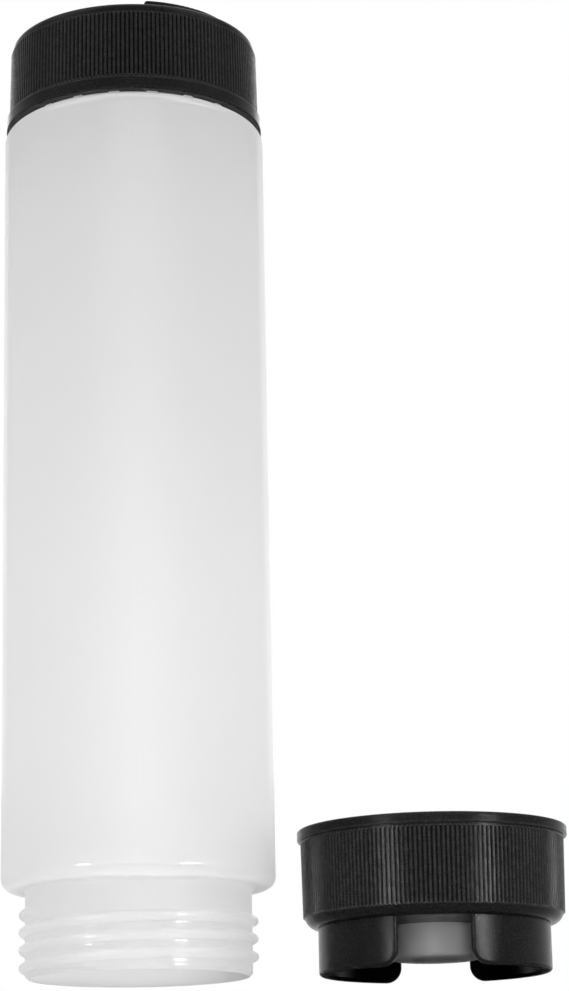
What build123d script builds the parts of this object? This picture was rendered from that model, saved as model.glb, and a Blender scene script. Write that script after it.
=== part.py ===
from build123d import *
from math import radians, tan
import os

# A squeeze bottle that is filled at one end and dispenses at the other. It stands on its open
# dispensing neck, axis on Z and rim at the origin, with the refill cap screwed on at the top.
# The dispensing cap is taken off and stands on its own two feet beside it. Millimetres.

# Necks, alike at both ends
neck_diameter = 54.4
neck_height = 21.0
neck_wall = 1.6
neck_root_radius = 1.0
rim_chamfer = 0.8

# Body
shoulder_width = 5.8
shoulder_radius = 2.7
body_length = 192.8
body_wall = 1.2

# Screw fit between the necks and the caps
thread_height = 1.5
thread_clearance = 0.5
cap_gap = 0.6
seal_thickness = 1.2
seal_width = 4.2
seal_groove_depth = 0.3
seal_clearance = 0.1

# Skirt, rim flange and deck of both caps
skirt_wall = 2.3
skirt_draft = 1.0
refill_flange_height = 3.4
dispensing_flange_height = 2.5
flange_inset = 0.3
flange_edge_radius = 0.4
deck_thickness = 1.8
refill_corner_radius = 1.4
dispensing_corner_radius = 3.0
mouth_chamfer = 0.9

# Grip ribs round both skirts, and the moulded notches in both rims
rib_count = 180
rib_height = 0.4
rib_groove_width = 0.8
rib_groove_depth = 0.36
rib_start_gap = 0.6
rib_end_gap = 1.7
rib_tip = 0.9
notch_count = 20
notch_width = 2.8
notch_depth = 0.6
notch_reach = 0.6
notch_turn = 8.5

# Low stand ring on the refill cap
ring_inset = 4.7
ring_wall = 2.0
ring_height = 2.6
ring_gap = 26.0
ring_turn = 66.0
ring_corner_radius = 0.8
ring_edge_radius = 0.5

# Feet under the dispensing cap
foot_inset = 3.5
foot_wall = 2.6
foot_height = 11.3
foot_gap = 17.0
foot_turn = 96.0
foot_corner_radius = 3.9
foot_edge_radius = 0.8

# Nozzle collar in the dispensing cap
collar_diameter = 22.0
collar_wall = 1.6
collar_reach = 8.0
collar_fit = 0.15
collar_edge_radius = 1.2
collar_lip = 3.0
collar_lip_thickness = 1.0
mouth_diameter = 12.0
tip_thickness = 1.6

# Slit valve, and the ring that clamps it in the collar
valve_rim_thickness = 1.4
valve_fit = 0.1
valve_crown = 1.0
valve_skin = 0.8
valve_mouth_fit = 0.3
slit_length = 7.0
slit_width = 0.3
clamp_wall = 1.5
clamp_lip = 1.2
clamp_lip_thickness = 1.2

# Place of the dispensing cap beside the bottle
side_gap = 5.4

neck_radius = neck_diameter / 2
neck_bore = neck_radius - neck_wall
body_radius = neck_radius + shoulder_width
body_bore = body_radius - body_wall
mid_height = neck_height + body_length / 2
top_rim = 2 * neck_height + body_length

cap_bore = neck_radius + thread_height + thread_clearance
cap_depth = neck_height - cap_gap + seal_thickness
cap_height = cap_depth + deck_thickness
skirt_radius = cap_bore + skirt_wall
flange_radius = body_radius - flange_inset
rib_radius = skirt_radius + rib_height
rib_end = cap_height - rib_end_gap
draft_slope = tan(radians(skirt_draft))
groove_radius = cap_bore + seal_groove_depth
seal_radius = groove_radius - seal_clearance

collar_radius = collar_diameter / 2
collar_bore = collar_radius - collar_wall
collar_tip = cap_height + collar_reach
valve_radius = collar_bore - valve_fit
valve_seat = collar_tip - tip_thickness
valve_back = valve_seat - valve_rim_thickness
mouth_radius = mouth_diameter / 2
crown_radius = mouth_radius - valve_mouth_fit

cap_offset = body_radius + side_gap + flange_radius
stand_height = cap_height + foot_height

# Each cap is drawn from its open rim. The plane's Z runs from the rim to the deck.
refill_rim = Plane(origin=(0, 0, top_rim - neck_height + cap_gap), x_dir=(1, 0, 0), z_dir=(0, 0, 1))
dispensing_rim = Plane(origin=(cap_offset, 0, stand_height), x_dir=(1, 0, 0), z_dir=(0, 0, -1))


def profile_plane(rim):
    # X is the radius and Y the height above the rim.
    return Plane(origin=rim.origin, x_dir=rim.x_dir, z_dir=-rim.y_dir)


def spin_axis(rim):
    return Axis(rim.origin, rim.z_dir)


def corner(sketch, radius, height):
    return sketch.vertices().sort_by_distance((radius, height))[0]


def make_bottle():
    with BuildPart() as bottle:
        with BuildSketch(Plane.XZ) as half:
            with BuildLine():
                Polyline(
                    (neck_bore, 0),
                    (neck_radius, 0),
                    (neck_radius, neck_height),
                    (body_radius, neck_height),
                    (body_radius, mid_height),
                    (body_bore, mid_height),
                    (body_bore, neck_height + body_wall),
                    (neck_bore, neck_height + body_wall),
                    close=True,
                )
            make_face()
            chamfer(corner(half, neck_radius, 0), rim_chamfer)
            fillet(corner(half, neck_radius, neck_height), neck_root_radius)
            fillet(corner(half, body_radius, neck_height), shoulder_radius)
            fillet(corner(half, body_bore, neck_height + body_wall), shoulder_radius - body_wall)
        revolve(axis=Axis.Z)
        mirror(about=Plane.XY.offset(mid_height))
    return bottle.part


def make_rib_groove(length):
    # A V groove, drawn with the skirt's outer face at X = 0.
    with BuildPart() as groove:
        with BuildSketch(Plane.XY):
            with BuildLine():
                Polyline(
                    (-rib_groove_depth, 0),
                    (rib_groove_depth, rib_groove_width),
                    (rib_groove_depth, -rib_groove_width),
                    close=True,
                )
            make_face()
        extrude(amount=length)
    return groove.part


def add_rib_grooves(rim, groove, start):
    # The grooves follow the drafted skirt and leave the ribs standing between them.
    with Locations(rim):
        with PolarLocations(0, rib_count):
            with Locations(Location((rib_radius, 0, start), (0, -skirt_draft, 0))):
                add(groove, mode=Mode.SUBTRACT)


def add_rim_notches(rim):
    # Shallow notches in the open rim, spread round its inner edge.
    reach = mouth_chamfer + notch_reach
    with Locations(rim):
        with PolarLocations(cap_bore, notch_count, start_angle=notch_turn):
            Box(
                reach,
                notch_width,
                notch_depth,
                align=(Align.MIN, Align.CENTER, Align.MIN),
                mode=Mode.SUBTRACT,
            )


def make_shell(rim, flange_height, corner_radius):
    # The rim flange, drafted skirt and deck that both caps share, with a groove for the seal.
    seal_floor = cap_depth - seal_thickness - seal_clearance
    rib_start = flange_height + rib_start_gap
    rib_top = rib_radius - (rib_end - flange_height) * draft_slope
    skirt_top = skirt_radius - (cap_height - flange_height) * draft_slope
    groove = make_rib_groove(rib_end - rib_start)
    with BuildPart() as shell:
        with BuildSketch(profile_plane(rim)) as wall:
            with BuildLine():
                Polyline(
                    (cap_bore, 0),
                    (flange_radius, 0),
                    (flange_radius, flange_height),
                    (skirt_radius, flange_height),
                    (skirt_top, cap_height),
                    (0, cap_height),
                    (0, cap_depth),
                    (groove_radius, cap_depth),
                    (groove_radius, seal_floor),
                    (cap_bore, seal_floor),
                    close=True,
                )
            make_face()
            chamfer(corner(wall, cap_bore, 0), mouth_chamfer)
            fillet(corner(wall, flange_radius, 0), flange_edge_radius)
            fillet(corner(wall, flange_radius, flange_height), flange_edge_radius)
            fillet(corner(wall, skirt_top, cap_height), corner_radius)
            # The band that the ribs are cut from, with its tips let into the skirt
            with BuildLine():
                Polyline(
                    (rib_top - rib_tip, flange_height),
                    (rib_radius, flange_height),
                    (rib_top, rib_end - rib_tip),
                    (rib_top - rib_tip, rib_end),
                    close=True,
                )
            make_face()
        revolve(axis=spin_axis(rim))
        add_rib_grooves(rim, groove, rib_start)
        add_rim_notches(rim)
    return shell.part


def make_arcs(rim, radius, wall, height, gap, turn, corner_radius, edge_radius):
    # A ring rooted in the deck, parted by a straight gap right across it into two arcs.
    root = deck_thickness / 2
    with BuildPart() as arcs:
        with BuildSketch(rim.offset(cap_height - root)):
            Circle(radius)
            Circle(radius - wall, mode=Mode.SUBTRACT)
            Rectangle(2 * radius, gap, rotation=turn, mode=Mode.SUBTRACT)
        extrude(amount=root + height)
        soles = arcs.faces().sort_by(spin_axis(rim))[-2:]
        fillet(soles.edges().filter_by(GeomType.LINE), corner_radius)
        soles = arcs.faces().sort_by(spin_axis(rim))[-2:]
        fillet(soles.edges().filter_by(GeomType.CIRCLE), edge_radius)
    return arcs.part


def make_refill_cap():
    with BuildPart() as cap:
        add(make_shell(refill_rim, refill_flange_height, refill_corner_radius))
        add(
            make_arcs(
                refill_rim,
                skirt_radius - ring_inset,
                ring_wall,
                ring_height,
                ring_gap,
                ring_turn,
                ring_corner_radius,
                ring_edge_radius,
            )
        )
    return cap.part


def make_refill_seal():
    with BuildPart() as seal:
        with BuildSketch(refill_rim.offset(cap_depth - seal_thickness)):
            Circle(seal_radius)
        extrude(amount=seal_thickness)
    return seal.part


def make_dispensing_cap():
    with BuildPart() as cap:
        add(make_shell(dispensing_rim, dispensing_flange_height, dispensing_corner_radius))
        add(
            make_arcs(
                dispensing_rim,
                skirt_radius - foot_inset,
                foot_wall,
                foot_height,
                foot_gap,
                foot_turn,
                foot_corner_radius,
                foot_edge_radius,
            )
        )
        with BuildSketch(dispensing_rim.offset(cap_depth)):
            Circle(collar_radius + collar_fit)
        extrude(amount=deck_thickness, mode=Mode.SUBTRACT)
    return cap.part


def make_dispensing_seal():
    with BuildPart() as seal:
        with BuildSketch(dispensing_rim.offset(cap_depth - seal_thickness)):
            Circle(seal_radius)
            Circle(seal_radius - seal_width, mode=Mode.SUBTRACT)
        extrude(amount=seal_thickness)
    return seal.part


def make_nozzle_collar():
    # A lip inside the deck, a tube through it and a tip with an open mouth.
    with BuildPart() as collar:
        with BuildSketch(profile_plane(dispensing_rim)) as wall:
            with BuildLine():
                Polyline(
                    (collar_bore, cap_depth - collar_lip_thickness),
                    (collar_radius + collar_lip, cap_depth - collar_lip_thickness),
                    (collar_radius + collar_lip, cap_depth),
                    (collar_radius, cap_depth),
                    (collar_radius, collar_tip),
                    (mouth_radius, collar_tip),
                    (mouth_radius, valve_seat),
                    (collar_bore, valve_seat),
                    close=True,
                )
            make_face()
            fillet(corner(wall, collar_radius, collar_tip), collar_edge_radius)
        revolve(axis=spin_axis(dispensing_rim))
    return collar.part


def make_slit_valve():
    # A flat rim under the collar's tip, and a domed crown with a cross slit in the mouth.
    crown_base = valve_seat - valve_rim_thickness / 2
    crown_top = collar_tip - valve_crown
    with BuildPart() as valve:
        with BuildSketch(profile_plane(dispensing_rim)):
            with BuildLine():
                Polyline(
                    (0, crown_top - valve_skin),
                    (crown_radius - valve_skin, valve_back),
                    (valve_radius, valve_back),
                    (valve_radius, valve_seat),
                    (crown_radius, valve_seat),
                )
                ThreePointArc(
                    (crown_radius, valve_seat),
                    (crown_radius * 0.7, (valve_seat + 3 * crown_top) / 4),
                    (0, crown_top),
                )
                Line((0, crown_top), (0, crown_top - valve_skin))
            make_face()
        revolve(axis=spin_axis(dispensing_rim))
        with BuildSketch(dispensing_rim.offset(valve_back)):
            Rectangle(slit_length, slit_width)
            Rectangle(slit_width, slit_length)
        extrude(amount=collar_reach, mode=Mode.SUBTRACT)
    return valve.part


def make_valve_clamp_ring():
    # A sleeve in the collar's bore, with a lip turned in under the valve's rim.
    lip_radius = valve_radius - clamp_wall - clamp_lip
    sleeve_end = cap_depth - collar_lip_thickness
    with BuildPart() as ring:
        with BuildSketch(profile_plane(dispensing_rim)):
            with BuildLine():
                Polyline(
                    (valve_radius - clamp_wall, sleeve_end),
                    (valve_radius, sleeve_end),
                    (valve_radius, valve_back),
                    (lip_radius, valve_back),
                    (lip_radius, valve_back - clamp_lip_thickness),
                    (valve_radius - clamp_wall, valve_back - clamp_lip_thickness),
                    close=True,
                )
            make_face()
        revolve(axis=spin_axis(dispensing_rim))
    return ring.part


pieces = {
    "bottle": make_bottle(),
    "refill_cap": make_refill_cap(),
    "refill_seal": make_refill_seal(),
    "dispensing_cap": make_dispensing_cap(),
    "dispensing_seal": make_dispensing_seal(),
    "nozzle_collar": make_nozzle_collar(),
    "slit_valve": make_slit_valve(),
    "valve_clamp_ring": make_valve_clamp_ring(),
}

os.makedirs("parts", exist_ok=True)
for name, piece in pieces.items():
    piece.label = name
    export_step(piece, f"parts/{name}.step")
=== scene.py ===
from math import ceil, cos, floor, pi, radians, sin, tau

import bpy
from mathutils import Matrix, Vector


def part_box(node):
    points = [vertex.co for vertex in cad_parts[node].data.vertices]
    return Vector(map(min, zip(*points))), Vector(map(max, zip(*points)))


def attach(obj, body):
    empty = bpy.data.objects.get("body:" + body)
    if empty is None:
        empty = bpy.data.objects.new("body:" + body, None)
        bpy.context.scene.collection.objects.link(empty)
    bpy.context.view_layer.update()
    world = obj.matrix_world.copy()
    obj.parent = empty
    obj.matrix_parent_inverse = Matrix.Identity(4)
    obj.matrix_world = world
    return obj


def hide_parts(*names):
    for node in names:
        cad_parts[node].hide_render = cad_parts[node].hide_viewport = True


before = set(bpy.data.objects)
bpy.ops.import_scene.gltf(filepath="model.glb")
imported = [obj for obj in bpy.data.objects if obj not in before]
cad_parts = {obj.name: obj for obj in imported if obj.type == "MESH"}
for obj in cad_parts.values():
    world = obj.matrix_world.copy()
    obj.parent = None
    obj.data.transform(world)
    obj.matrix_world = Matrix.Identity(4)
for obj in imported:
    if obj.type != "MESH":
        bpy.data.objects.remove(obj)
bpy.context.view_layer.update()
print("frame loaded")

mm = 0.001


# Small helpers for node trees

mixSockets = {"first": 6, "second": 7, "result": 2}    # places of a Mix node's colour sockets


def newMaterial(name):
    material = bpy.data.materials.new(name)
    material.use_nodes = True
    return material, material.node_tree, material.node_tree.nodes["Principled BSDF"]


def addNode(tree, kind, **settings):
    node = tree.nodes.new(kind)
    for key, value in settings.items():
        setattr(node, key, value)
    return node


def connect(tree, fromSocket, toSocket):
    tree.links.new(fromSocket, toSocket)


def feed(tree, value, socket):
    # a number is set on the socket itself, and an output is linked to it
    if isinstance(value, (int, float)):
        socket.default_value = value
    else:
        connect(tree, value, socket)


def mathNode(tree, operation, *values):
    node = addNode(tree, "ShaderNodeMath", operation=operation)
    for value, socket in zip(values, node.inputs):
        feed(tree, value, socket)
    return node.outputs[0]


def mapRange(tree, value, fromRange, toRange=(0.0, 1.0)):
    node = addNode(tree, "ShaderNodeMapRange")
    names = ("Value", "From Min", "From Max", "To Min", "To Max")
    for name, number in zip(names, (value, *fromRange, *toRange)):
        feed(tree, number, node.inputs[name])
    return node.outputs["Result"]


def mixColour(tree, factor, first, second):
    node = addNode(tree, "ShaderNodeMix", data_type="RGBA")
    connect(tree, factor, node.inputs["Factor"])
    for place, value in (("first", first), ("second", second)):
        socket = node.inputs[mixSockets[place]]
        if isinstance(value, tuple):
            socket.default_value = (*value, 1.0)
        else:
            connect(tree, value, socket)
    return node.outputs[mixSockets["result"]]


def mixShaders(tree, factor, first, second, output):
    node = addNode(tree, "ShaderNodeMixShader")
    feed(tree, factor, node.inputs[0])
    connect(tree, first.outputs[0], node.inputs[1])
    connect(tree, second.outputs[0], node.inputs[2])
    connect(tree, node.outputs[0], tree.nodes[output].inputs["Surface"])


def bumpNode(tree, height, strength, distance, normal=None):
    node = addNode(tree, "ShaderNodeBump")
    node.inputs["Strength"].default_value = strength
    node.inputs["Distance"].default_value = distance
    connect(tree, height, node.inputs["Height"])
    if normal is not None:
        connect(tree, normal, node.inputs["Normal"])
    return node.outputs["Normal"]


def noiseFrom(tree, place, sizeInMm, detail):
    node = addNode(tree, "ShaderNodeTexNoise")
    node.inputs["Detail"].default_value = detail
    connect(tree, place.outputs["Object"], node.inputs["Vector"])
    connect(tree, mathNode(tree, "DIVIDE", 1 / mm, sizeInMm), node.inputs["Scale"])
    return node.outputs["Fac"]


# Node groups shared by the materials

def newGroup(name, inputs, outputs):
    group = bpy.data.node_groups.new(name, "ShaderNodeTree")
    kind = "NodeSocketFloat"
    for socketName, value in inputs.items():
        socket = group.interface.new_socket(name=socketName, in_out="INPUT", socket_type=kind)
        socket.default_value = value
    for socketName in outputs:
        group.interface.new_socket(name=socketName, in_out="OUTPUT", socket_type=kind)
    entry = addNode(group, "NodeGroupInput").outputs
    leaving = addNode(group, "NodeGroupOutput").inputs
    return group, entry, leaving


def placeGroup(tree, group, values):
    node = addNode(tree, "ShaderNodeGroup", node_tree=group)
    for name, value in values.items():
        node.inputs[name].default_value = value
    return node


mouldedGrain = {
    "usual": {"Grain Size": 0.25, "Wave Size": 12.0, "Roughness": 0.4, "Roughness Spread": 0.1},
    "grainDetail": 2.0,
    "waveDetail": 1.0,
    "smudgeDetail": 3.0,
    "smudgeShare": 0.4,              # a smudge's size as a share of a wave's
    "smudgeRange": (0.35, 0.65),
}


def mouldedGrainGroup():
    # fine grain and slow waves of a moulded surface, with a roughness that changes in smudges
    outputs = ("Grain", "Wave", "Roughness")
    group, entry, leaving = newGroup("mouldedGrain", mouldedGrain["usual"], outputs)
    place = addNode(group, "ShaderNodeTexCoord")
    grain = noiseFrom(group, place, entry["Grain Size"], mouldedGrain["grainDetail"])
    wave = noiseFrom(group, place, entry["Wave Size"], mouldedGrain["waveDetail"])
    smudgeSize = mathNode(group, "MULTIPLY", entry["Wave Size"], mouldedGrain["smudgeShare"])
    smudge = noiseFrom(group, place, smudgeSize, mouldedGrain["smudgeDetail"])
    low = mathNode(group, "SUBTRACT", entry["Roughness"], entry["Roughness Spread"])
    high = mathNode(group, "ADD", entry["Roughness"], entry["Roughness Spread"])
    roughness = mapRange(group, smudge, mouldedGrain["smudgeRange"], (low, high))
    connect(group, grain, leaving["Grain"])
    connect(group, wave, leaving["Wave"])
    connect(group, roughness, leaving["Roughness"])
    return group


edgeWearAndSheen = {
    "usual": {"Width": 0.4, "Patch Size": 1.5, "Amount": 1.0},
    "rays": 6,
    "freeShare": (0.92, 0.45),       # share of free rays away from an edge, and at one
    "patchDetail": 3.0,
    "patchRange": (0.35, 0.6),
    "patchShare": (0.4, 1.0),
}


def edgeWearAndSheenGroup():
    # paler outer edges, partly rubbed wear and partly a painted highlight along edges and rib tips:
    # rays sent into the solid are stopped early only close to an edge
    group, entry, leaving = newGroup("edgeWearAndSheen", edgeWearAndSheen["usual"], ("Mask",))
    inward = addNode(group, "ShaderNodeAmbientOcclusion", inside=True, only_local=True)
    inward.samples = edgeWearAndSheen["rays"]
    connect(group, mathNode(group, "MULTIPLY", entry["Width"], mm), inward.inputs["Distance"])
    edge = mapRange(group, inward.outputs["AO"], edgeWearAndSheen["freeShare"])
    place = addNode(group, "ShaderNodeTexCoord")
    patch = noiseFrom(group, place, entry["Patch Size"], edgeWearAndSheen["patchDetail"])
    rubbedAndSheen = mapRange(group, patch, edgeWearAndSheen["patchRange"], edgeWearAndSheen["patchShare"])
    mask = mathNode(group, "MULTIPLY", mathNode(group, "MULTIPLY", edge, rubbedAndSheen), entry["Amount"])
    connect(group, mask, leaving["Mask"])
    return group


grainGroup = mouldedGrainGroup()
wearAndSheenGroup = edgeWearAndSheenGroup()
print("node groups made")


# Profiles and turned meshes

rounding = {
    "arcSteps": 14,          # for a radius of 1 mm or more
    "fewestSteps": 4,
    "lead": 0.04 * mm,       # a close row on each side keeps the shading of the straight runs straight
}


def roundCorners(corners):
    # corners are (radius, height, rounding) in order round a closed outline
    points = []
    count = len(corners)
    for index, (x, z, radius) in enumerate(corners):
        here = Vector((x, z))
        before = Vector(corners[index - 1][:2]) - here
        after = Vector(corners[(index + 1) % count][:2]) - here
        before.normalize()
        after.normalize()
        half = before.angle(after) / 2
        reach = radius * cos(half) / sin(half)
        centre = here + (before + after).normalized() * radius / sin(half)
        start = here + before * reach - centre
        stop = here + after * reach - centre
        turn = start.angle_signed(stop)
        steps = max(rounding["fewestSteps"], round(rounding["arcSteps"] * min(1, radius / mm)))
        lead = min(rounding["lead"], reach / 4)
        points.append(here + before * (reach + lead))
        for step in range(steps + 1):
            angle = -turn * step / steps
            spunX = start.x * cos(angle) - start.y * sin(angle)
            spunZ = start.x * sin(angle) + start.y * cos(angle)
            points.append(centre + Vector((spunX, spunZ)))
        points.append(here + after * (reach + lead))
    return points


def refine(points, step, wanted):
    # adds points to the runs for which wanted() is true, so that none is longer than step
    fine = []
    for index, point in enumerate(points):
        following = points[(index + 1) % len(points)]
        fine.append(point)
        if wanted(point, following):
            pieces = int((following - point).length / step)
            for part in range(1, pieces):
                fine.append(point.lerp(following, part / pieces))
    return fine


def turnedRings(outline, columns, openRuns):
    # a closed outline turned round Z, with no faces between the rows in openRuns and the next
    count = len(outline)
    vertices = []
    for column in range(columns):
        angle = tau * column / columns
        vertices += [(point.x * cos(angle), point.x * sin(angle), point.y) for point in outline]
    faces = []
    for column in range(columns):
        first = column * count
        second = ((column + 1) % columns) * count
        for row in range(count):
            if row in openRuns:
                continue
            following = (row + 1) % count
            faces.append((first + row, second + row, second + following, first + following))
    return vertices, faces


def smoothMesh(name, vertices, faces):
    mesh = bpy.data.meshes.new(name)
    mesh.from_pydata(vertices, [], faces)
    mesh.shade_smooth()
    mesh.update()
    return mesh


def smoothStep(value):
    value = min(max(value, 0.0), 1.0)
    return value * value * (3 - 2 * value)


def addPiece(name, mesh, material, bodyName):
    piece = bpy.data.objects.new(name, mesh)
    bpy.context.scene.collection.objects.link(piece)
    mesh.materials.append(material)
    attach(piece, bodyName)
    return piece


# Bottle with a screw thread on both necks

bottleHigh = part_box("bottle")[1]     # its highest corner

neck = {
    "radius": 27.2 * mm,
    "wall": 1.6 * mm,
    "height": 21.0 * mm,
    "rootRadius": 1.0 * mm,
    "rimChamfer": 0.8 * mm,
    "chamferRadius": 0.2 * mm,
    "rimOuterRadius": 0.15 * mm,
    "rimInnerRadius": 0.2 * mm,
    "boreRadius": 0.3 * mm,          # where the neck's bore opens into the body
}

thread = {
    "pitch": 4.2333 * mm,            # six turns to the inch
    "height": 1.5 * mm,
    "halfWidth": 1.3 * mm,
    "roundness": 0.6,                # of its crest
    "footPower": 8,                  # the higher it is, the steeper the foot
    "firstTurn": -0.62,              # counted from +X, where the thread is at phaseHeight
    "lastTurn": 2.62,
    "fade": 0.13,                    # turns over which each end runs out
    "phaseHeight": 4.65 * mm,
    "rowsPerTurn": 20,
}

body = {
    "radius": bottleHigh[0],
    "wall": 1.2 * mm,
    "shoulderRadius": 2.7 * mm,
    "columns": 240,
    "rowGap": 6 * mm,
    "closeness": 0.01 * mm,          # how near two radii count as the same
}

milky = {
    "deep": (0.893, 0.893, 0.893),
    "paintedLightNearCap": (0.91, 0.91, 0.91),   # painted light: paler towards the top, to lift the shade that the black cap casts inside the top
    "paintedShadeAtThread": (0.84, 0.84, 0.84),  # painted shade: darker over the thread, to tone down the light that its tops catch
    "cloud": (0.80, 0.80, 0.80),
    "cloudShare": 0.06,
    "paintedLightHeights": (150 * mm, 214 * mm),
    "paintedLightPower": 1.6,
    "crestMargin": 1 * mm,           # the thread's painted shade ends this far outside its crest
    "grain": {"Grain Size": 0.5, "Wave Size": 40.0, "Roughness": 0.085, "Roughness Spread": 0.015},
    "gloss": 2.9,                    # its refractive index, which sets how bright the highlights are
    "letThrough": 0.85,              # share of the light that goes through the wall
    "partingLine": 0.16 * mm,        # half its width
    "waveBump": (0.1, 1.0 * mm),     # strength and depth of each bump
    "grainBump": (0.08, 0.03 * mm),
    "lineBump": (0.5, 0.05 * mm),
}


def milkyPolyethylene():
    material, tree, shader = newMaterial("milkyPolyethylene")
    grain = placeGroup(tree, grainGroup, milky["grain"]).outputs
    place = addNode(tree, "ShaderNodeTexCoord")
    axes = addNode(tree, "ShaderNodeSeparateXYZ")
    connect(tree, place.outputs["Object"], axes.inputs[0])
    # painted light: the colour turns paler towards the top, where the black cap shades the inside
    climb = mapRange(tree, axes.outputs["Z"], milky["paintedLightHeights"])
    climb = mathNode(tree, "POWER", climb, milky["paintedLightPower"])
    colour = mixColour(tree, climb, milky["deep"], milky["paintedLightNearCap"])
    across = addNode(tree, "ShaderNodeCombineXYZ")
    connect(tree, axes.outputs["X"], across.inputs["X"])
    connect(tree, axes.outputs["Y"], across.inputs["Y"])
    reach = addNode(tree, "ShaderNodeVectorMath", operation="LENGTH")
    connect(tree, across.outputs[0], reach.inputs[0])
    # painted shade: the colour turns darker over the thread, from the neck out to its crest
    crest = neck["radius"] + thread["height"]
    bead = mapRange(tree, reach.outputs["Value"], (neck["radius"], crest))
    beyond = (crest, crest + milky["crestMargin"])
    wider = mapRange(tree, reach.outputs["Value"], beyond, (1.0, 0.0))
    colour = mixColour(tree, mathNode(tree, "MULTIPLY", bead, wider), colour, milky["paintedShadeAtThread"])
    cloud = mapRange(tree, grain["Wave"], (0.0, 1.0), (0.0, milky["cloudShare"]))
    colour = mixColour(tree, cloud, colour, milky["cloud"])
    connect(tree, colour, shader.inputs["Base Color"])
    connect(tree, grain["Roughness"], shader.inputs["Roughness"])
    line = mathNode(tree, "ABSOLUTE", axes.outputs["X"])
    line = mapRange(tree, line, (0.0, milky["partingLine"]), (1.0, 0.0))
    normal = bumpNode(tree, grain["Wave"], *milky["waveBump"])
    normal = bumpNode(tree, grain["Grain"], *milky["grainBump"], normal)
    normal = bumpNode(tree, line, *milky["lineBump"], normal)
    connect(tree, normal, shader.inputs["Normal"])
    shader.inputs["IOR"].default_value = milky["gloss"]
    through = addNode(tree, "ShaderNodeBsdfTranslucent")
    connect(tree, colour, through.inputs["Color"])
    connect(tree, normal, through.inputs["Normal"])
    mixShaders(tree, milky["letThrough"], shader, through, "Material Output")
    return material


def threadRise(rimDistance, turnAngle):
    # how far the thread stands out at a distance from the rim and an angle from +X
    rise = 0.0
    for turn in range(floor(thread["firstTurn"]), ceil(thread["lastTurn"]) + 1):
        along = turnAngle / tau + turn
        middle = thread["phaseHeight"] + thread["pitch"] * along
        away = abs(rimDistance - middle) / thread["halfWidth"]
        if away >= 1:
            continue
        ends = smoothStep((along - thread["firstTurn"]) / thread["fade"])
        ends *= smoothStep((thread["lastTurn"] - along) / thread["fade"])
        bead = (1 - away ** 2) ** thread["roundness"] * (1 - away ** thread["footPower"])
        rise = max(rise, thread["height"] * ends * bead)
    return rise


def lowerThread(height, angle):
    return threadRise(height, angle)


def upperThread(height, angle):
    # the same right-handed thread, counted down from the upper rim
    return threadRise(bottleHigh[2] - height, (tau - angle) % tau)


def addThreadRows(vertices, faces, outline, run, crestHeight, riseAt):
    # fills an open run with rows that climb as the thread does, so that its crest stays on one row
    count = len(outline)
    low, high = outline[run].y, outline[run + 1].y
    step = thread["pitch"] / thread["rowsPerTurn"]
    nearby = step / 4          # a row this close to an end of the run uses the outline's own point
    made = {}

    def vertexAt(column, row):
        if column == body["columns"]:
            return vertexAt(0, row + thread["rowsPerTurn"])
        angle = tau * column / body["columns"]
        height = crestHeight + thread["pitch"] * angle / tau + step * row
        if height < low + nearby:
            return column * count + run
        if height > high - nearby:
            return column * count + run + 1
        if (column, row) not in made:
            made[column, row] = len(vertices)
            radius = neck["radius"] + riseAt(height, angle)
            vertices.append((radius * cos(angle), radius * sin(angle), height))
        return made[column, row]

    firstRow = floor((low - crestHeight - thread["pitch"]) / step)
    lastRow = ceil((high - crestHeight) / step)
    for column in range(body["columns"]):
        for row in range(firstRow, lastRow):
            corners = [vertexAt(column, row), vertexAt(column + 1, row)]
            corners += [vertexAt(column + 1, row + 1), vertexAt(column, row + 1)]
            corners = list(dict.fromkeys(corners))
            if len(corners) > 2:
                faces.append(corners)


def makeBottle():
    top = bottleHigh[2]
    neckBore = neck["radius"] - neck["wall"]
    bodyBore = body["radius"] - body["wall"]
    inside = body["shoulderRadius"] - body["wall"]
    rim = neck["rimChamfer"]
    lower = [
        (bodyBore, neck["height"] + body["wall"], inside),
        (neckBore, neck["height"] + body["wall"], neck["boreRadius"]),
        (neckBore, 0, neck["rimInnerRadius"]),
        (neck["radius"] - rim, 0, neck["rimOuterRadius"]),
        (neck["radius"], rim, neck["chamferRadius"]),
        (neck["radius"], neck["height"], neck["rootRadius"]),
        (body["radius"], neck["height"], body["shoulderRadius"]),
    ]
    upper = [(x, top - z, radius) for x, z, radius in reversed(lower)]
    near = body["closeness"]
    outline = roundCorners(lower + upper)
    outline = refine(outline, body["rowGap"], lambda a, b: min(a.x, b.x) >= bodyBore - near)
    runs = [
        row for row, point in enumerate(outline[:-1])
        if abs(point.x - neck["radius"]) < near and outline[row + 1].y - point.y > neck["height"] / 2
    ]
    vertices, faces = turnedRings(outline, body["columns"], runs)
    lowerRun, upperRun = runs
    addThreadRows(vertices, faces, outline, lowerRun, thread["phaseHeight"], lowerThread)
    addThreadRows(vertices, faces, outline, upperRun, top - thread["phaseHeight"], upperThread)
    mesh = smoothMesh("bottleShell", vertices, faces)
    piece = addPiece("bottleShell", mesh, milkyPolyethylene(), "bottle")
    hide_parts("bottle")


makeBottle()
print("bottle made")


# Finishes of the caps, the collar, the valve and the seals

black = {
    "name": "blackPolypropylene",
    "colour": (0.0035, 0.0035, 0.0038),
    "second": (0.013, 0.013, 0.0135),              # dust on the grain
    "secondBy": ("Grain", (0.45, 0.75)),
    # paler edges and rib tips: partly rubbed wear, partly a painted highlight
    "rubbedAndSheen": (0.085, 0.085, 0.086),
    "wearAndSheen": {"Width": 0.55, "Patch Size": 1.5, "Amount": 1.0},
    "grain": {"Grain Size": 0.42, "Wave Size": 9.0, "Roughness": 0.19, "Roughness Spread": 0.05},
    "bump": (0.6, 0.08 * mm),
    "sockets": {"Specular IOR Level": 0.068},
}

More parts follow.
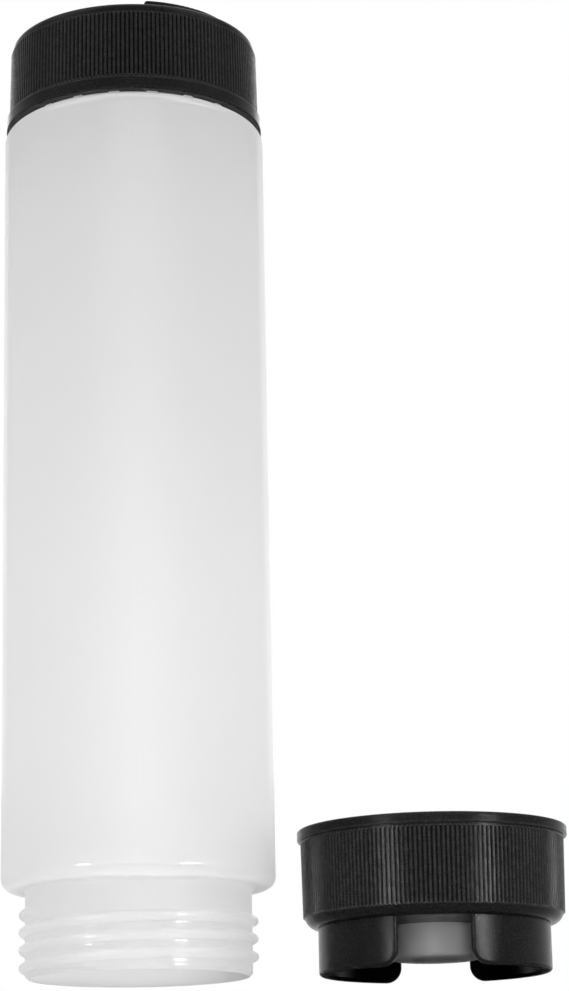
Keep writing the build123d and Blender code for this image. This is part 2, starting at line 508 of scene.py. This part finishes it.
grey = {
    "name": "greyCollar",
    "colour": (0.91, 0.915, 0.92),
    "second": (0.95, 0.95, 0.955),
    "secondBy": ("Wave", (0.3, 0.7)),
    "rubbedAndSheen": (0.98, 0.98, 0.98),
    "wearAndSheen": {"Width": 0.35, "Patch Size": 1.2, "Amount": 0.8},
    "grain": {"Grain Size": 0.4, "Wave Size": 6.0, "Roughness": 0.45, "Roughness Spread": 0.06},
    "bump": (0.2, 0.03 * mm),
    "sockets": {
        "Subsurface Weight": 0.2,
        "Subsurface Radius": (1.0, 1.0, 1.0),
        "Subsurface Scale": 1 * mm,
    },
}

silicone = {
    "name": "siliconeRubber",
    "colour": (0.56, 0.57, 0.57),
    "second": (0.64, 0.65, 0.65),
    "secondBy": ("Wave", (0.3, 0.7)),
    "grain": {"Grain Size": 0.15, "Wave Size": 3.0, "Roughness": 0.5, "Roughness Spread": 0.08},
    "bump": (0.2, 0.02 * mm),
    "sockets": {
        "Subsurface Weight": 0.4,
        "Subsurface Radius": (1.0, 1.0, 1.0),
        "Subsurface Scale": 1.5 * mm,
    },
}

foam = {
    "name": "linerFoam",
    "colour": (0.66, 0.66, 0.64),                  # in the pores
    "second": (0.80, 0.80, 0.78),
    "secondBy": ("Grain", (0.3, 0.6)),
    "grain": {"Grain Size": 0.35, "Wave Size": 5.0, "Roughness": 0.75, "Roughness Spread": 0.1},
    "bump": (0.5, 0.08 * mm),
    "sockets": {},
}


def mouldedFinish(look):
    material, tree, shader = newMaterial(look["name"])
    grain = placeGroup(tree, grainGroup, look["grain"]).outputs
    output, fromRange = look["secondBy"]
    share = mapRange(tree, grain[output], fromRange)
    colour = mixColour(tree, share, look["colour"], look["second"])
    # paler edges: rubbed wear, and on the black plastic also a painted highlight along edges and rib
    # tips
    if "rubbedAndSheen" in look:
        wearAndSheen = placeGroup(tree, wearAndSheenGroup, look["wearAndSheen"])
        colour = mixColour(tree, wearAndSheen.outputs["Mask"], colour, look["rubbedAndSheen"])
    connect(tree, colour, shader.inputs["Base Color"])
    connect(tree, grain["Roughness"], shader.inputs["Roughness"])
    connect(tree, bumpNode(tree, grain["Grain"], *look["bump"]), shader.inputs["Normal"])
    for name, value in look["sockets"].items():
        shader.inputs[name].default_value = value
    return material


blackPolypropylene = mouldedFinish(black)
greyCollar = mouldedFinish(grey)
siliconeRubber = mouldedFinish(silicone)
linerFoam = mouldedFinish(foam)

finishes = {
    "refill_cap": blackPolypropylene,
    "dispensing_cap": blackPolypropylene,
    "nozzle_collar": greyCollar,
    "valve_clamp_ring": greyCollar,
    "slit_valve": siliconeRubber,
    "refill_seal": linerFoam,
    "dispensing_seal": linerFoam,
}
for nodeName, finish in finishes.items():
    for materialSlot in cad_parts[nodeName].material_slots:
        materialSlot.material = finish
print("CAD nodes finished")


# Inner threads of the caps

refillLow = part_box("refill_cap")[0]
capLow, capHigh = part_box("dispensing_cap")
capCentre = (capLow[0] + capHigh[0]) / 2

capThread = {
    "bore": 29.2 * mm,
    "height": 1.1 * mm,
    "halfWidth": 0.9 * mm,
    "turns": 2.6,
    "fade": 0.12,                # turns over which each end runs out
    "rimDistance": 5.2 * mm,     # from the cap's open rim to the start of its thread
    "startAngle": pi,
    "stepsPerTurn": 96,
    "sink": 0.2 * mm,            # how far its back goes into the skirt
    "edgeSink": 0.02 * mm,       # how far its two edges lie under the bore
    "section": [                 # from edge to edge: across its width, and its height there
        (-1.0, 0.0), (-0.8, 0.55), (-0.4, 0.93), (0.0, 1.0), (0.4, 0.93), (0.8, 0.55), (1.0, 0.0),
    ],
}


def helixRibbon(name, centre, rimHeight, climb):
    # a round-topped ribbon on the inside of a bore; climb is +1 where the cap opens downwards, else -1
    turns, perTurn = capThread["turns"], capThread["stepsPerTurn"]
    steps = int(turns * perTurn)
    backRadius = capThread["bore"] + capThread["sink"]
    edgeRadius = capThread["bore"] + capThread["edgeSink"]
    vertices = []
    for step in range(steps + 1):
        along = step / perTurn
        angle = capThread["startAngle"] + tau * along * climb
        ends = smoothStep(along / capThread["fade"]) * smoothStep((turns - along) / capThread["fade"])
        middle = rimHeight + climb * (capThread["rimDistance"] + thread["pitch"] * along)
        height = capThread["height"] * ends
        ring = [(across, edgeRadius - height * rise) for across, rise in capThread["section"]]
        for across, radius in [(-1.0, backRadius), *ring, (1.0, backRadius)]:
            level = middle + across * capThread["halfWidth"]
            vertices.append((centre + radius * cos(angle), radius * sin(angle), level))
    rows = len(capThread["section"]) + 2
    faces = []
    for step in range(steps):
        for row in range(rows):
            following = (row + 1) % rows
            first, second = step * rows, (step + 1) * rows
            faces.append((first + row, second + row, second + following, first + following))
    faces.append(tuple(range(rows)))
    faces.append(tuple(reversed(range(steps * rows, (steps + 1) * rows))))
    mesh = smoothMesh(name, vertices, faces)
    if climb > 0:
        mesh.flip_normals()
    return mesh


refillThread = helixRibbon("refillCapThread", 0.0, refillLow[2], 1)
addPiece("refillCapThread", refillThread, blackPolypropylene, "refill_cap")
looseThread = helixRibbon("dispensingCapThread", capCentre, capHigh[2], -1)
addPiece("dispensingCapThread", looseThread, blackPolypropylene, "dispensing_cap")
print("cap threads made")


# Floor, world, lights and camera

ground = {
    "size": 6.0,
    "drop": 0.1 * mm,
    "colour": (0.86, 0.86, 0.86),
    "roughness": 0.8,
    "specular": 0.1,
}


def makeFloor():
    half, level = ground["size"] / 2, -ground["drop"]
    corners = [(x * half, y * half, level) for x, y in ((-1, -1), (1, -1), (1, 1), (-1, 1))]
    mesh = bpy.data.meshes.new("floor")
    mesh.from_pydata(corners, [], [(0, 1, 2, 3)])
    material, tree, shader = newMaterial("paleFloor")
    shader.inputs["Base Color"].default_value = (*ground["colour"], 1.0)
    shader.inputs["Roughness"].default_value = ground["roughness"]
    shader.inputs["Specular IOR Level"].default_value = ground["specular"]
    # seen from below the floor lets the camera through
    light = addNode(tree, "ShaderNodeLightPath").outputs
    side = addNode(tree, "ShaderNodeNewGeometry").outputs
    clear = addNode(tree, "ShaderNodeBsdfTransparent")
    below = mathNode(tree, "MULTIPLY", light["Is Camera Ray"], side["Backfacing"])
    mixShaders(tree, below, shader, clear, "Material Output")
    mesh.materials.append(material)
    piece = bpy.data.objects.new("floor", mesh)
    bpy.context.scene.collection.objects.link(piece)


studio = {
    "colour": (1.0, 1.0, 1.0, 1.0),
    "light": 0.44,               # what the world lights the object with
    "background": 1.0,           # what the camera and reflections see
}


def makeWorld():
    world = bpy.data.worlds.new("studio")
    world.use_nodes = True
    tree = world.node_tree
    plain = tree.nodes["Background"]
    white = addNode(tree, "ShaderNodeBackground")
    for node, strength in ((plain, studio["light"]), (white, studio["background"])):
        node.inputs["Color"].default_value = studio["colour"]
        node.inputs["Strength"].default_value = strength
    light = addNode(tree, "ShaderNodeLightPath").outputs
    seen = mathNode(tree, "MAXIMUM", light["Is Camera Ray"], light["Is Glossy Ray"])
    seen = mathNode(tree, "MAXIMUM", seen, light["Is Transmission Ray"])
    mixShaders(tree, seen, plain, white, "World Output")
    bpy.context.scene.world = world


# lamps: azimuth in degrees from the front, the rest in metres, watts and degrees; aim is a height
strip = {"height": 0.033, "distance": 0.95, "size": (0.36, 0.052), "spread": 16, "aim": 0.028}
softbox = {"spread": 180, "aim": 0.11}
sideSoftbox = {**softbox, "height": 0.9, "distance": 0.85, "size": (0.8, 0.5)}
lamps = {
    "leftStrip": {**strip, "azimuth": -46, "power": 0.062},
    "rightStrip": {**strip, "azimuth": 44, "power": 0.095},
    "frontSoftbox": {
        **softbox, "azimuth": 4, "height": 0.33, "distance": 1.1,
        "size": (2.0, 0.66), "spread": 90, "power": 1.15,
    },
    "backSoftbox": {
        **softbox, "azimuth": 176, "height": 0.45, "distance": 1.0, "size": (1.3, 0.5), "power": 3.5,
    },
    "leftSoftbox": {**sideSoftbox, "azimuth": -62, "power": 3.3},
    "rightSoftbox": {**sideSoftbox, "azimuth": 62, "power": 3.5},
    "topSoftbox": {
        **softbox, "azimuth": 0, "height": 1.2, "distance": 0.25, "size": (1.3, 0.14), "power": 2.7,
    },
}


def makeLamps():
    for name, lamp in lamps.items():
        light = bpy.data.lights.new(name, "AREA")
        light.shape = "RECTANGLE"
        light.size, light.size_y = lamp["size"]
        light.energy = lamp["power"]
        light.spread = radians(lamp["spread"])
        azimuth = radians(lamp["azimuth"])
        place = Vector((sin(azimuth), -cos(azimuth), 0)) * lamp["distance"]
        place.z = lamp["height"]
        holder = bpy.data.objects.new(name, light)
        holder.location = place
        aim = Vector((capCentre / 2, 0.0, lamp["aim"]))
        holder.rotation_euler = (aim - place).to_track_quat("-Z", "Y").to_euler()
        holder.visible_camera = False
        bpy.context.scene.collection.objects.link(holder)


view = {
    "place": (-0.7 * mm, -686.4 * mm, -57.7 * mm),
    "turn": 3.14,                # degrees to the right
    "tilt": 14.4,                # degrees up
    "roll": -1.11,
    "focalPixels": 2842,
    "imageHeight": 991,
    "sensorHeight": 36.0,
    "nearest": 0.01,             # clip start
}


def makeCamera():
    turn, tilt, roll = (radians(view[key]) for key in ("turn", "tilt", "roll"))
    forward = Vector((sin(turn) * cos(tilt), cos(turn) * cos(tilt), sin(tilt)))
    right = Vector((cos(turn), -sin(turn), 0.0))
    up = right.cross(forward)
    rolledRight = right * cos(roll) + up * sin(roll)
    rolledUp = up * cos(roll) - right * sin(roll)
    camera = bpy.data.cameras.new("camera")
    camera.sensor_fit = "VERTICAL"
    camera.sensor_height = view["sensorHeight"]
    camera.lens = view["focalPixels"] / view["imageHeight"] * view["sensorHeight"]
    camera.clip_start = view["nearest"]
    holder = bpy.data.objects.new("camera", camera)
    spin = Matrix((rolledRight, rolledUp, -forward)).transposed().to_4x4()
    holder.matrix_world = Matrix.Translation(view["place"]) @ spin
    bpy.context.scene.collection.objects.link(holder)
    bpy.context.scene.camera = holder


makeFloor()
makeWorld()
makeLamps()
makeCamera()
bpy.context.scene.view_settings.view_transform = "Standard"
print("studio made")
